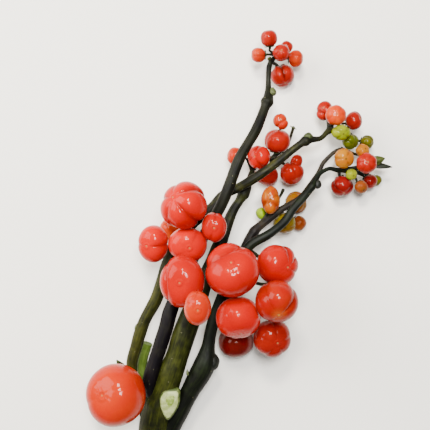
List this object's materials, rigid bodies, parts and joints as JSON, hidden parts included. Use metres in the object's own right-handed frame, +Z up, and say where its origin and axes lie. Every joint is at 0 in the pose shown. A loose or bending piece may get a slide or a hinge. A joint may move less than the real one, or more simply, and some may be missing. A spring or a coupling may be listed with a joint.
{
  "type": "pumpkin-on-a-stick fruiting branch",
  "caption": "Cut branch of scarlet eggplant, an ornamental whose glossy ribbed fruits look like small pumpkins, in tight clusters on dark green forked stems.",
  "frame": {"origin": "on the table, under the middle of the lying branch's bounding box", "axes": "+Z up from the table, +Y along the branch from its cut end to its tip, +X to the side of the two right shoots"},
  "size_m": [0.2362, 0.3398, 0.0973],
  "materials": {
    "ripe_skin": "glossy waxy fruit skin, red-orange",
    "orange_skin": "glossy fruit skin, half ripe",
    "unripe_skin": "glossy fruit skin, unripe green",
    "green_bark": "satin dark green bark",
    "dark_bark": "satin purple-black bark",
    "young_bark": "satin bright green bark",
    "leaf": "matt leaf green"
  },
  "bodies": {
    "root": {"centre_fruit_1": "ripe_skin", "centre_fruit_2": "ripe_skin", "centre_fruit_3": "ripe_skin", "end_fruit_1": "orange_skin", "end_fruit_2": "orange_skin", "end_fruit_3": "ripe_skin", "end_fruit_4": "ripe_skin", "end_fruit_5": "unripe_skin", "end_fruit_6": "orange_skin", "end_fruit_7": "ripe_skin", "end_fruit_8": "unripe_skin", "far_fruit_1": "ripe_skin", "far_fruit_2": "ripe_skin", "far_fruit_3": "ripe_skin", "far_fruit_4": "unripe_skin", "far_fruit_5": "unripe_skin", "far_fruit_6": "unripe_skin", "green_bract": "leaf", "left_fruit_1": "ripe_skin", "left_fruit_2": "ripe_skin", "left_fruit_3": "ripe_skin", "left_fruit_4": "ripe_skin", "left_fruit_5": "ripe_skin", "left_shoot": "green_bark", "lower_fruit": "ripe_skin", "main_stem": "green_bark", "middle_shoot": "dark_bark", "orange_fruit_1": "orange_skin", "orange_fruit_2": "unripe_skin", "orange_fruit_3": "orange_skin", "orange_fruit_4": "orange_skin", "orange_fruit_5": "orange_skin", "pruned_side_shoot": "young_bark", "right_fruit_1": "ripe_skin", "right_fruit_2": "ripe_skin", "right_fruit_3": "ripe_skin", "right_fruit_4": "ripe_skin", "right_fruit_5": "ripe_skin", "right_shoot": "green_bark", "right_side_shoot": "dark_bark", "tip_fruit_1": "ripe_skin", "tip_fruit_2": "ripe_skin", "tip_fruit_3": "ripe_skin", "tip_fruit_4": "ripe_skin", "tip_fruit_5": "ripe_skin", "tip_fruit_6": "ripe_skin", "upper_fruit_1": "ripe_skin", "upper_fruit_2": "ripe_skin", "upper_fruit_3": "ripe_skin", "upper_fruit_4": "ripe_skin", "upper_fruit_5": "ripe_skin", "upper_fruit_6": "ripe_skin", "young_leaf": "leaf"}
  },
  "joints": []
}
